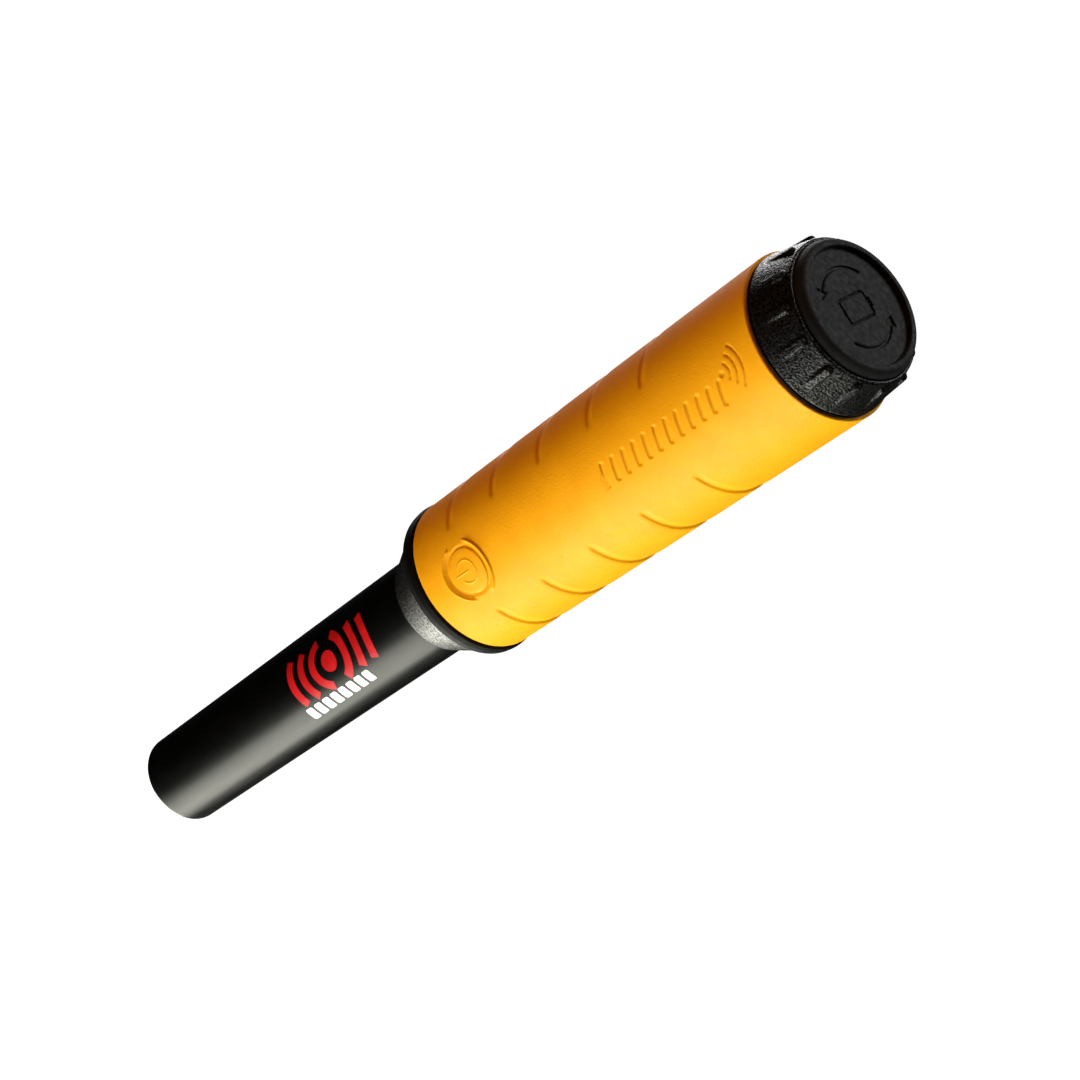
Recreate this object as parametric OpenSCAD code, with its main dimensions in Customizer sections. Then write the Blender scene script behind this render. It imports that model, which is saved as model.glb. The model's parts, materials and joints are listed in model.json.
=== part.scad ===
// Pinpointer probe: a hand-held metal detector the length of a forearm.
// +Z runs from the sensing tip to the battery cap, and the power button faces -Y.
// The origin is on the axis, in the middle of the collar's rim band, where a holster ring seats.

/* [Probe tube] */
// Length of bare tube ahead of the collar
tube_len = 104.8; // [100:0.2:110]
// Outside radius of the tube at the tip
tip_r = 10.95; // [10.8:0.05:11.2]
// Outside radius of the tube where it meets the collar
tube_r = 12.3; // [12.2:0.05:12.4]
// Radius of the tube's bore
tube_bore_r = 8.9; // [8.8:0.05:9]

/* [Collar] */
// Length of the textured cone
cone_len = 11.1; // [10:0.1:12]
// Outside radius of the rim band
rim_r = 18.9; // [18.8:0.05:19.1]
// Width of the rim band
rim_w = 3.0; // [2.6:0.1:3.4]

/* [Grip] */
// Length of the coloured grip sleeve
grip_len = 119.9; // [119.5:0.1:121]
// Outside radius of the sleeve at the collar end
grip_front_r = 18.56; // [18.5:0.02:18.7]
// Outside radius of the sleeve at the cap end
grip_rear_r = 20.45; // [20.4:0.05:20.6]
// Number of finger grooves along the sleeve
groove_count = 5; // [3:1:5]
// Half the angle that the finger grooves leave clear on the button side
groove_clear = 34; // [30:1:40]

/* [Button] */
// Distance of the button's centre from the origin
button_z = 16.8; // [16:0.2:18]
// Radius of the button's face
button_r = 5.5; // [5.2:0.1:5.6]
// How far the button is pressed in
button_travel = 0.6; // [0.4:0.05:0.6]
// Outside radius of the two raised guards round the button
guard_r = 7.7; // [7.4:0.1:8]
// Height of the guards above the sleeve
guard_h = 0.5; // [0.3:0.05:0.6]

/* [Battery cap] */
// Length of the gripped ring
ring_len = 11.0; // [10.8:0.1:11.4]
// Outside radius of the ring next to the sleeve
ring_r = 19.75; // [19.6:0.05:19.9]
// Outside radius of the ring next to the end pad
ring_end_r = 17.45; // [17.4:0.05:17.6]
// Number of finger ribs round the ring
rib_count = 14; // [10:1:18]
// Gap between the sleeve and the ring
cap_gap = 0.6; // [0.5:0.05:0.8]
// Pitch of the cap's right-hand thread
thread_pitch = 3.0; // [3:0.1:3.2]
// Outside radius of the rubber end pad
pad_r = 16.7; // [16.5:0.05:16.8]
// Radius of the round panel sunk into the end pad
panel_r = 14.0; // [12:0.1:14.2]

/* [Battery] */
// Width of the nine volt battery
battery_w = 26.5; // [25.5:0.1:26.5]
// Depth of the nine volt battery
battery_d = 17.5; // [16.5:0.1:17.5]
// Length of the battery's case, without its terminals
battery_len = 46.4; // [45:0.1:46.4]

/* [Hidden] */
$fn = 64;
fit = 0.05;                                   // radial gap of a glued or sliding round fit
gap = 0.3;                                    // gap between pieces that only pass each other

cone_z = -rim_w / 2 - cone_len;               // where the collar starts on the tube
tip_z = cone_z - tube_len;                    // end of the probe tip
grip_z = rim_w / 2 + 0.5;                     // front end of the sleeve
grip_end = grip_z + grip_len;                 // rear end of the sleeve
ring_z = grip_end + cap_gap;
ring_end = ring_z + ring_len;

tip_wall = 2.4;
nose_len = 4;                                 // wall at the front of the handle core
flange_z = grip_z + nose_len;
flange_t = 2;
core_front_r = grip_front_r - 1.66;
core_rear_r = grip_rear_r - 1.95;
board_bay_r = 15.2;
battery_bay_r = 16.1;
neck_r = 17.35;
lip_t = 0.35;                                 // rim of the core that shows between sleeve and cap
neck_z = grip_end - 12.4;
thread_z = neck_z + 1.6;                      // start of the neck's thread; the cap's lies half a pitch on
bay_z = neck_z - 55;                          // shoulder between the board bay and the battery bay

rod_r = 5;
rod_len = 78;
rod_z = tip_z + 5.3;
former_z = tip_z + 9;
former_r = 5.9;
coil_flange_r = 8.3;
coil_flange_t = 1.2;
coil_bays = [14, 28, 14];                     // receive, transmit and receive windings
former_len = 60.8;
support_z = rod_z + rod_len - 7;
lead_xs = [-6.6, -4.6, 4.6, 6.6];
lead_y = -3.9;
lead_r = 0.4;

board_top = -6;                               // face that carries the switch
board_t = 1.6;
board_w = 26;
board_z = flange_z + flange_t + 1;
board_len = bay_z - board_z - 1.5;
board_under = board_top + board_t;
screw_x = 9.8;
screw_zs = [board_z + 5, board_z + board_len - 5];
switch_h = 3.5;
switch_top = board_top - switch_h;
stem_r = 1.7;
stem_out = 1.5;
guard_w = 1.3;
guard_spread = 68;                            // half the angle that each guard goes round the button
face_sunk = 0.02;
head_in = 16.9;                               // depths on the button side are distances from the axis
pocket_in = head_in - button_travel - 0.1;
seal_in = pocket_in - 0.7;
seal_r = 4.5;
button_stem_r = 2.6;

motor_y = 7.0;
motor_r = 3;
motor_z = board_z + 26.5;
motor_len = 9;
weight_z = motor_z + motor_len + 0.8;
weight_len = 3.4;
buzzer_z = board_z + 15.5;
buzzer_r = 7;
buzzer_h = 6.5;

bulkhead_t = 2.2;
battery_end = grip_end - 13;
battery_z = battery_end - battery_len;
case_wall = 0.3;
cell_pitch = 8.3;
terminal_h = 2.2;
terminal_x = 6.35;
snap_t = 2.8;

plug_r = 16.15;
plug_in_r = 13.8;
plug_z = grip_end - 11;
web_z = ring_z + 3.5;
pad_seat_z = ring_end - 3;
pad_rise = 2.45;
pad_end = ring_end + pad_rise;
pad_flat_r = 15.0;
post_r = 3;
plate_z = plug_z + 0.7;
plate_t = 1.5;

// ---- shared shapes ----

function arc(cx, cz, rx, rz, a0, a1, n = 6) =
    [for (i = [0:n]) let (a = a0 + (a1 - a0) * i / n) [cx + rx * cos(a), cz + rz * sin(a)]];
function grip_r(z) = grip_front_r + (grip_rear_r - grip_front_r) * (z - grip_z) / grip_len;
function groove_z(i) = grip_z + 13.9 + 16.4 * i + 0.4 * i * (i - 1);

module turned(points) rotate_extrude($fn = 96) polygon(points);

module rod(r, z0, z1) translate([0, 0, z0]) cylinder(r = r, h = z1 - z0);

module ring(r_out, r_in, z0, z1) difference() {
    rod(r_out, z0, z1);
    rod(r_in, z0 - 1, z1 + 1);
}

// cylinder that lies along Y, from y0 up to y1
module cross_rod(r, y0, y1, x = 0, z = 0)
    translate([x, y1, z]) rotate([90, 0, 0]) cylinder(r = r, h = y1 - y0);

module box(lo, hi) translate(lo) cube(hi - lo);

module torus(r_mid, r_section, z) translate([0, 0, z])
    rotate_extrude($fn = 96) translate([r_mid, 0]) circle(r = r_section, $fn = 24);

// right-hand helical rib between two radii; it starts on +X at height z0
module thread_rib(r_base, r_crest, z0, turns, w_base = 1.2, w_crest = 0.8, per_turn = 48) {
    n = round(turns * per_turn);
    section = [[r_base, -w_base / 2], [r_crest, -w_crest / 2], [r_crest, w_crest / 2],
        [r_base, w_base / 2]];
    points = [for (i = [0:n], p = section) let (a = 360 * i / per_turn)
        [p.x * cos(a), p.x * sin(a), z0 + p.y + thread_pitch * i / per_turn]];
    inward = r_crest < r_base;
    quad = function (i, j) let (k = (j + 1) % 4)
        [[4 * i + j, 4 * i + k, 4 * i + 4 + j], [4 * i + k, 4 * i + 4 + k, 4 * i + 4 + j]];
    sides = [for (i = [0:n - 1], j = [0:3], f = quad(i, j)) f];
    ends = [[0, 2, 1], [0, 3, 2], [4 * n, 4 * n + 1, 4 * n + 2], [4 * n, 4 * n + 2, 4 * n + 3]];
    faces = concat(sides, ends);
    flipped = [for (f = faces) [f[0], f[2], f[1]]];
    polyhedron(points, inward ? faces : flipped);
}

// ---- sensing end ----

module probe_tube() color([0.03, 0.03, 0.03]) turned(concat(
    [[0, tip_z]],
    arc(tip_r - 1.4, tip_z + 1.4, 1.4, 1.4, -90, 0),
    [[tube_r, cone_z], [tube_r, flange_z], [tube_r + 2.1, flange_z],
     [tube_r + 2.1, flange_z + flange_t], [tube_bore_r, flange_z + flange_t],
     [tube_bore_r, tip_z + tip_wall], [0, tip_z + tip_wall]]));

module tip_cushion() color([0.2, 0.2, 0.22])
    rod(7.6, tip_z + tip_wall + fit, rod_z - fit);

module ferrite_rod() color([0.22, 0.22, 0.24]) rod(rod_r, rod_z, rod_z + rod_len);

function flange_at(i) = former_z + (i == 0 ? 0 : i == 1 ? coil_flange_t + coil_bays[0]
    : i == 2 ? 2 * coil_flange_t + coil_bays[0] + coil_bays[1] : former_len - coil_flange_t);

module coil_former() color([0.85, 0.85, 0.8]) difference() {
    union() {
        rod(former_r, former_z, former_z + former_len);
        for (i = [0:3]) rod(coil_flange_r, flange_at(i), flange_at(i) + coil_flange_t);
    }
    rod(rod_r + fit, former_z - 1, former_z + former_len + 1);
}

module winding(bay, r_out) ring(r_out, former_r + fit,
    flange_at(bay) + coil_flange_t + fit, flange_at(bay + 1) - fit);

module transmit_coil() color([0.72, 0.35, 0.15]) winding(1, 7.7);

module receive_coils() color([0.75, 0.42, 0.18]) {
    winding(0, 7.2);
    winding(2, 7.2);
}

module rod_support() color([0.85, 0.85, 0.8]) difference() {
    ring(tube_bore_r - fit, rod_r + fit, support_z, support_z + 6);
    for (side = [-1, 1]) translate([side * 5.6, lead_y, support_z + 3])
        cube([3.4, 1.2, 8], center = true);
}

module coil_leads() color([0.75, 0.15, 0.1])
    for (x = lead_xs) translate([x, lead_y, former_z + former_len + 0.2])
        cylinder(r = lead_r, h = board_z + 4 - former_z - former_len - 0.2);

// ---- collar and handle ----

module tube_collar() color([0.08, 0.08, 0.08]) turned([
    [tube_r + fit, cone_z], [tube_r + 0.45, cone_z], [rim_r - 1.3, -rim_w / 2 - 0.8],
    [rim_r - 0.6, -rim_w / 2 - 0.4], [rim_r, -rim_w / 2], [rim_r, rim_w / 2],
    [rim_r - 0.8, rim_w / 2], [rim_r - 0.8, grip_z], [tube_r + fit, grip_z]]);

module tube_seal() color([0.05, 0.05, 0.05]) torus(tube_r + 0.72, 0.65, grip_z + 2);

module handle_core() color([0.1, 0.1, 0.1]) difference() {
    turned([
        [tube_r + fit, grip_z], [core_front_r, grip_z], [core_rear_r, grip_end],
        [grip_rear_r - 0.75, grip_end], [grip_rear_r - 0.75, grip_end + lip_t],
        [neck_r, grip_end + lip_t], [neck_r, neck_z], [battery_bay_r, neck_z],
        [battery_bay_r, bay_z], [board_bay_r, bay_z], [board_bay_r, flange_z],
        [tube_r + fit, flange_z]]);
    ring(tube_r + 1.45, tube_r - 1, grip_z + 1.1, grip_z + 2.9);
    cross_rod(button_stem_r + gap, -20, -12, 0, button_z);
    cross_rod(button_r + gap, -20, -pocket_in, 0, button_z);
    cross_rod(seal_r + fit, -20, -seal_in, 0, button_z);
}

// the core's inside thread
module neck_thread() color([0.12, 0.12, 0.12])
    thread_rib(neck_r - 0.02, neck_r - 0.9, thread_z, 2.2);

// a body of revolution that follows the sleeve's taper, this far outside its surface
module grip_solid(out) turned([[0, grip_z], [grip_front_r + out, grip_z],
    [grip_rear_r + out, grip_end], [0, grip_end]]);

module grip_sleeve() color([0.98, 0.72, 0.12]) difference() {
    union() {
        turned(concat(
            [[core_front_r + fit, grip_z]],
            arc(grip_front_r - 0.6, grip_z + 0.6, 0.6, 0.6, -90, 0, 4),
            [[grip_rear_r, grip_end - 1.2]],
            arc(grip_rear_r - 0.5, grip_end - 0.5, 0.5, 0.5, 0, 90, 4),
            [[core_rear_r + fit, grip_end]]));
        button_guards();
    }
    cross_rod(button_r + gap, -25, -12, 0, button_z);
    for (i = [0:groove_count - 1]) finger_groove(groove_z(i));
}

// two raised arcs, on the tip side and the cap side of the button
module button_guards() {
    side_x = guard_r * sin(guard_spread);
    intersection() {
        grip_solid(guard_h);
        difference() {
            cross_rod(guard_r, -25, 0.5 - grip_front_r, 0, button_z);
            cross_rod(guard_r - guard_w, -26, 0, 0, button_z);
        }
        box([-side_x, -26, button_z - 10], [side_x, 0, button_z + 10]);
    }
}

// shallow groove round the back of the sleeve, open on the button side
module finger_groove(z) rotate([0, 0, groove_clear - 90])
    rotate_extrude(angle = 360 - 2 * groove_clear, $fn = 96)
        polygon([[grip_r(z) - 0.3, z - 0.1], [grip_r(z) + 1, z - 0.9], [grip_r(z) + 1, z + 0.9],
            [grip_r(z) - 0.3, z + 0.1]]);

// ---- power button and its switch ----

module power_button() color([1, 0.76, 0.16]) {
    intersection() {
        cross_rod(button_r, -25, -head_in, 0, button_z);
        grip_solid(-face_sunk);
    }
    cross_rod(button_stem_r, -head_in, switch_top - stem_out - 0.02, 0, button_z);
}

module button_seal() color([0.06, 0.06, 0.06]) difference() {
    cross_rod(seal_r, -pocket_in + fit, -seal_in, 0, button_z);
    cross_rod(button_stem_r + fit, -pocket_in - 1, -seal_in + 1, 0, button_z);
}

module switch_body() color([0.15, 0.15, 0.16]) difference() {
    box([-3, switch_top, button_z - 3], [3, board_top, button_z + 3]);
    cross_rod(stem_r + fit, switch_top - 1, switch_top + 2.2, 0, button_z);
}

module switch_stem() color([0.8, 0.8, 0.8])
    cross_rod(stem_r, switch_top - stem_out, switch_top + 1.2, 0, button_z);

// ---- electronics ----

module circuit_board() color([0.05, 0.35, 0.16]) difference() {
    box([-board_w / 2, board_top, board_z], [board_w / 2, board_under, board_z + board_len]);
    for (x = [-screw_x, screw_x], z = screw_zs) cross_rod(1.1, board_top - 1, board_under + 1, x, z);
}

// a flat chip soldered to the switch side of the board
module chip(x, z, w, l, h) box([x - w / 2, board_top - h, z - l / 2], [x + w / 2, board_top, z + l / 2]);

module microcontroller() color([0.12, 0.12, 0.13]) chip(0, board_z + 21, 7, 7, 1.2);

module signal_chips() color([0.14, 0.14, 0.15]) {
    chip(8, board_z + 18, 4, 5, 1.6);
    chip(-8, board_z + 18, 4, 5, 1.6);
    chip(-8, board_z + 29, 4, 5, 1.6);
}

module capacitors() color([0.75, 0.76, 0.78])
    for (x = [-6.8, 6.8]) cross_rod(2.3, board_under, board_under + 6, x, board_z + 29);

module crystal() color([0.8, 0.8, 0.82]) chip(6, board_z + 28.5, 3.2, 8, 2.4);

// half shell that holds the board across the handle
module board_carrier() color([0.2, 0.2, 0.2]) difference() {
    union() {
        intersection() {
            ring(board_bay_r - fit, board_bay_r - 2, board_z, board_z + board_len);
            box([-20, board_under, board_z], [20, 20, board_z + board_len]);
        }
        for (x = [-screw_x, screw_x], z = screw_zs) cross_rod(2.1, board_under, 8.9, x, z);
    }
    for (x = [-screw_x, screw_x], z = screw_zs) cross_rod(0.9, board_under - 1, 2.4, x, z);
}

module board_screws() color([0.7, 0.7, 0.72])
    for (x = [-screw_x, screw_x], z = screw_zs) {
        cross_rod(1.9, board_top - 1.3, board_top, x, z);
        cross_rod(0.85, board_top, 1.6, x, z);
    }

module buzzer_case() color([0.1, 0.1, 0.1]) difference() {
    cross_rod(buzzer_r, board_under, board_under + buzzer_h, 0, buzzer_z);
    cross_rod(buzzer_r - 1, board_under + 1, board_under + buzzer_h - 1, 0, buzzer_z);
    cross_rod(1.2, board_under + buzzer_h - 2, board_under + buzzer_h + 1, 0, buzzer_z);
}

module buzzer_disc() color([0.85, 0.68, 0.3])
    cross_rod(buzzer_r - 1 - fit, board_under + 1.6, board_under + 2, 0, buzzer_z);

module at_motor() translate([0, motor_y, 0]) children();

module vibration_motor() color([0.75, 0.75, 0.77]) at_motor()
    ring(motor_r, 0.4 + fit, motor_z, motor_z + motor_len);

module motor_shaft() color([0.6, 0.6, 0.62]) at_motor()
    rod(0.4, motor_z + 1, weight_z + weight_len + 0.4);

module motor_weight() color([0.55, 0.5, 0.42]) at_motor() difference() {
    rod(motor_r - 0.2, weight_z, weight_z + weight_len);
    rod(0.42, weight_z - 1, weight_z + weight_len + 1);
    box([-5, -5, weight_z - 1], [5, -0.8, weight_z + weight_len + 1]);
}

module motor_clip() color([0.2, 0.2, 0.2]) at_motor() difference() {
    box([-4.2, -2.2, motor_z + 2], [4.2, 5, motor_z + 7]);
    rod(motor_r + fit, motor_z + 1, motor_z + 8);
    box([-1.9, -4, motor_z + 1], [1.9, 0, motor_z + 8]);
}

// ---- battery and its connector ----

module battery_bulkhead() color([0.2, 0.2, 0.2]) difference() {
    rod(battery_bay_r - fit, bay_z + fit, bay_z + bulkhead_t);
    for (x = [-3.2, 3.2]) translate([x, board_top - 0.7, bay_z - 1]) cylinder(r = 1, h = 5);
}

module battery_case() color([0.25, 0.25, 0.28]) difference() {
    box([-battery_w / 2, -battery_d / 2, battery_z], [battery_w / 2, battery_d / 2, battery_end]);
    box([-battery_w / 2 + case_wall, -battery_d / 2 + case_wall, battery_z + case_wall],
        [battery_w / 2 - case_wall, battery_d / 2 - case_wall, battery_end - case_wall]);
}

// six slim cells in two rows
module battery_cells() color([0.6, 0.6, 0.62])
    for (x = [-1:1], y = [-0.5, 0.5]) translate([x * cell_pitch, y * cell_pitch, battery_z + 2])
        cylinder(r = cell_pitch / 2 - 0.1, h = battery_len - 4);

module battery_terminals() color([0.8, 0.8, 0.78]) {
    translate([terminal_x, 0, battery_z - terminal_h]) cylinder(r = 2.85, h = terminal_h);
    translate([-terminal_x, 0, 0]) ring(4.2, 3.1, battery_z - terminal_h, battery_z);
}

module snap_connector() color([0.08, 0.08, 0.08])
    box([-12.5, -6, battery_z - terminal_h - 0.2 - snap_t], [12.5, 6, battery_z - terminal_h - 0.2]);

module snap_contacts() color([0.8, 0.8, 0.78]) {
    translate([terminal_x, 0, 0]) ring(3.9, 2.95, battery_z - terminal_h - 0.2, battery_z - 0.3);
    translate([-terminal_x, 0, battery_z - terminal_h - 0.2]) cylinder(r = 2.9, h = 2);
}

module battery_leads() color([0.7, 0.1, 0.1])
    for (x = [-3.2, 3.2]) translate([x, board_top - 0.65, board_z + board_len - 4])
        cylinder(r = 0.6, h = battery_z - terminal_h - 1.6 - board_z - board_len + 4);

// ---- screw cap ----

module rib() translate([0, -0.95, 0]) rotate([90, 0, 0]) mirror([0, 0, 1]) linear_extrude(1.9)
    polygon([[15, ring_z + 2.4], [ring_r - 0.62, ring_z + 2.6], [ring_r - 1.1, ring_end - 2.2],
        [ring_r - 1.35, ring_end - 1.7], [ring_r - 2.0, ring_end - 1.45], [15, ring_end - 1.45]]);

module cap_ring() color([0.07, 0.07, 0.07]) difference() {
    union() {
        turned([
            [0, plug_z], [plug_r, plug_z], [plug_r, ring_z], [ring_r - 0.4, ring_z],
            [ring_r, ring_z + 0.4], [ring_end_r + 0.15, ring_end - 0.5],
            [ring_end_r - 0.3, ring_end], [0, ring_end]]);
        for (i = [0:rib_count - 1]) rotate([0, 0, -87 + 360 * i / rib_count]) rib();
    }
    rod(pad_r + 0.1, pad_seat_z, ring_end + 1);
    ring(plug_in_r, post_r, plug_z - 1, web_z);
    rod(post_r + 1, plug_z - 1, plate_z + plate_t + 1);
    ring(plug_r + 1, plug_r - 0.85, grip_end - 2.1, grip_end - 0.5);
}

// the cap's outside thread, half a pitch away from the core's
module cap_thread() color([0.09, 0.09, 0.09])
    thread_rib(plug_r + 0.05, plug_r + 0.9, thread_z + thread_pitch / 2, 1.6);

module cap_seal() color([0.04, 0.04, 0.04]) torus(plug_r - 0.85 + 0.05 + 0.75, 0.75, grip_end - 1.3);

module cap_pad() color([0.18, 0.18, 0.18]) turned(concat(
    [[0, pad_seat_z], [pad_r, pad_seat_z]],
    arc(pad_flat_r, ring_end - 0.5, pad_r - pad_flat_r, pad_rise + 0.5, 0, 90, 8),
    [[panel_r + 0.15, pad_end], [panel_r, pad_end - 1.35], [0, pad_end - 1.35]]));

module thrust_plate() color([0.2, 0.2, 0.2]) difference() {
    union() {
        rod(plug_in_r - 0.5, plate_z, plate_z + plate_t);
        rod(5.5, plate_z, web_z - 1);
    }
    rod(post_r + fit, plate_z + plate_t + 0.4, web_z);
}

module battery_cushion() color([0.3, 0.3, 0.32]) rod(plug_in_r - 0.5, battery_end + 0.1, plate_z);

probe_tube();
tip_cushion();
ferrite_rod();
coil_former();
transmit_coil();
receive_coils();
rod_support();
coil_leads();
tube_collar();
tube_seal();
handle_core();
neck_thread();
grip_sleeve();
power_button();
button_seal();
switch_body();
switch_stem();
circuit_board();
microcontroller();
signal_chips();
capacitors();
crystal();
board_carrier();
board_screws();
buzzer_case();
buzzer_disc();
vibration_motor();
motor_shaft();
motor_weight();
motor_clip();
battery_bulkhead();
battery_case();
battery_cells();
battery_terminals();
snap_connector();
snap_contacts();
battery_leads();
cap_ring();
cap_thread();
cap_seal();
cap_pad();
thrust_plate();
battery_cushion();
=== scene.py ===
"""Looks for the pinpointer probe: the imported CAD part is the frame, and the pieces that show
are rebuilt round it as fine meshes with procedural materials.

Lengths in the piece functions are millimetres, in the frame's own axes: +Z runs from the tip
to the battery cap and the button faces -Y. An angle round the grip is measured from -Y
towards -X, in degrees.
"""

import json
import math

import bmesh
import bpy
import numpy as np
from mathutils import Matrix, Vector


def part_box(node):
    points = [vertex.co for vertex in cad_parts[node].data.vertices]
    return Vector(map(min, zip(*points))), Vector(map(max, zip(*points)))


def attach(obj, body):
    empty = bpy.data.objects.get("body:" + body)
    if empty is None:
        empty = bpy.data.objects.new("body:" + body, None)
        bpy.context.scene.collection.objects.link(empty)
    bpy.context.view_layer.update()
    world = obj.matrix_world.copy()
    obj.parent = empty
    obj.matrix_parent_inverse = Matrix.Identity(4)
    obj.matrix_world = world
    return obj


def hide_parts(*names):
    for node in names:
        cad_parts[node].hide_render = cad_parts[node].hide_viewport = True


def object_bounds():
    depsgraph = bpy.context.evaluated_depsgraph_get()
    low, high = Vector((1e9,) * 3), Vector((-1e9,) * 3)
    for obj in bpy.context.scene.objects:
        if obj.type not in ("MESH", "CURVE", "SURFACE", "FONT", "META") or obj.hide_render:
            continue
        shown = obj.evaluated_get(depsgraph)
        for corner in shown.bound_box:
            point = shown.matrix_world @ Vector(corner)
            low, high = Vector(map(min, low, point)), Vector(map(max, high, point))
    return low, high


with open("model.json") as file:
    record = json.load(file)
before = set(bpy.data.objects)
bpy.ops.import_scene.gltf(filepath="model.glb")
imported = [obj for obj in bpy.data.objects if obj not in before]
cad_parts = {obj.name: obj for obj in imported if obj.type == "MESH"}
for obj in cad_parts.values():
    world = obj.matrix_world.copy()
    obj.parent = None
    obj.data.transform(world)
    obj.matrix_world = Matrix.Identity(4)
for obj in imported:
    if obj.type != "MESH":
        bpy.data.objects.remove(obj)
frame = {"nodes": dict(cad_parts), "record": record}
cad_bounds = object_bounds()

MM = 0.001


# ---- sizes ----------------------------------------------------------------------------------

def span(node, axis=2):
    """Lowest and highest millimetre of a CAD node along one axis."""
    lo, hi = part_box(node)
    return lo[axis] / MM, hi[axis] / MM


TIP_Z, TUBE_END = span("probe_tube")
CONE_Z, COLLAR_END = span("tube_collar")
GRIP_Z, GRIP_END = span("grip_sleeve")
PLUG_Z, RING_END = span("cap_ring")
PAD_SEAT_Z, PAD_END = span("cap_pad")
BUTTON_LO, BUTTON_HI = span("power_button")

# probe tube
TUBE_TIP_R = 10.95
TUBE_R = 12.3
TUBE_BORE_R = 8.9
TUBE_FLANGE_R = 14.4
TUBE_FLANGE_T = 2.0
TUBE_END_WALL = 2.4
TUBE_TIP_ROUND = 1.4

# marks printed on the tube: a sign of a dot and arcs, and a row of bars
INK_T = 0.03
INK_SUNK = 0.01
SIGN_Z = -41.9
SIGN_TURN = 10.0
SIGN_DOT_R = 2.6
SIGN_ARCS = (5.0, 9.2, 13.4)
SIGN_ARC_W = 2.3
SIGN_HALF = 5.6
BAR_COUNT = 8
BAR_FIRST_Z = -57.8
BAR_PITCH = 3.16
BAR_TURN = -30.0
BAR_W = 2.3
BAR_HALF = 1.7
BAR_CORNER = 0.5

# collar
RIM_R = span("tube_collar", 0)[1]
RIM_HALF = 1.5
RIM_BACK_R = RIM_R - 0.8
COLLAR_BORE_R = TUBE_R + 0.05
SEAM_Z = -RIM_HALF - 0.35

# grip sleeve
GRIP_FRONT_R = 18.56
GRIP_REAR_R = span("grip_sleeve", 0)[1]
SLEEVE_IN_FRONT = 16.95
SLEEVE_IN_REAR = 18.55
SLEEVE_IN_SLOPE = (SLEEVE_IN_REAR - SLEEVE_IN_FRONT) / (GRIP_END - GRIP_Z)

# finger grooves; they start clear of the button side and grow to full size round the back
GROOVE_COUNT = 5
GROOVE_FIRST = 13.9
GROOVE_PITCH = 16.4
GROOVE_WIDEN = 0.4      # each gap between grooves is twice this wider than the one before
GROOVE_ZS = [GRIP_Z + GROOVE_FIRST + GROOVE_PITCH * i + GROOVE_WIDEN * i * (i - 1)
             for i in range(GROOVE_COUNT)]
GROOVE_CLEAR = 34.0
GROOVE_FULL = 115.0
GROOVE_DEEP = 0.37
GROOVE_DEEPEN = 0.20
GROOVE_RAMP = 2.0
GROOVE_RAMP_GROW = 1.9
GROOVE_WALL = 0.85

# mark engraved in the grip: a row of slanted bars, then a dot with arcs
ROW_COUNT = 12
ROW_FIRST_Z = 67.0
ROW_PITCH = 3.7
ROW_LEAN = 17.0
ROW_AROUND = -0.2
ROW_BAR_LONG = 3.0      # these three are half the length and width, and the corner's radius
ROW_BAR_WIDE = 0.75
ROW_BAR_CORNER = 0.35
WAVE_Z = 110.0
WAVE_AROUND = 3.1
WAVE_DOT_R = 0.8
WAVE_ARCS = (2.4, 4.4, 6.4)
WAVE_ARC_HALF = 0.38
WAVE_SPREAD = 48.0
MARK_DEEP = 0.34
MARK_EDGE = 0.3

# button, the dish it lies in, and the two guards
BUTTON_Z = (BUTTON_LO + BUTTON_HI) / 2
BUTTON_R = (BUTTON_HI - BUTTON_LO) / 2
HOLE_R = BUTTON_R + 0.05
FACE_SUNK = 0.02
DISH_DEEP = 0.3
DISH_W = 0.8
HEAD_IN = 16.9
STEM_R = 2.6
STEM_END = span("power_button", 1)[1]
GUARD_H = 0.45
GUARD_FOOT = 5.95
GUARD_CREST = 7.15
GUARD_OUT = 7.6
GUARD_FADE_FROM = 61.0  # degrees off the grip's own direction, where each guard starts to end
GUARD_FADE_TO = 69.0

# the sleeve's mesh is let in round the button with rings, square outside and round from here in
PATCH_HALF = 9.2
ROUND_OUT = GUARD_OUT + 0.3

# battery cap
RING_Z = GRIP_END + 0.6
RING_R = 19.75
RING_END_R = 17.6
PLUG_R = 16.15
PLUG_IN_R = 13.8
RIB_COUNT = 14
RIB_FIRST = -87.0
RIB_W = 2.1
RIB_Z = 126.2
RIB_HALF = 6.1
RIB_CORNER = 0.9
RIB_TOP_R = 19.36
RIB_TOP_Z = 124.6
RIB_TOP_SLOPE = 0.085
PAD_R = 16.7
PAD_FLAT_R = 15.0
PANEL_R = 14.0
PANEL_Z = PAD_END - 1.35

# camera: degrees round from -Y, up and rolled; then metres, and the lens in millimetres
VIEW_TURN = 5.0
VIEW_RISE = 41.74
VIEW_ROLL = 34.9
VIEW_FAR = 1.129
VIEW_AIM_Z = 0.0235
VIEW_AIM_RIGHT = 0.001115
VIEW_AIM_UP = -0.001601
VIEW_LENS = 166.7

# floor, in metres
FLOOR_HALF = 6.0
FLOOR_DROP = 1.2


# ---- numbers and outlines -------------------------------------------------------------------

def smooth(lo, hi, x):
    """0 below lo, 1 above hi and an S-curve between, for numbers and arrays."""
    t = np.clip((np.asarray(x, float) - lo) / (hi - lo), 0.0, 1.0)
    return t * t * (3.0 - 2.0 * t)


def graded(*stops):
    """Values from the first stop to the last; each stop is (value, step up to the next one)."""
    values = []
    for (a, step), (b, _) in zip(stops, stops[1:]):
        count = max(1, round((b - a) / step))
        values += [a + (b - a) * i / count for i in range(count)]
    return np.array(values + [stops[-1][0]])


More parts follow.
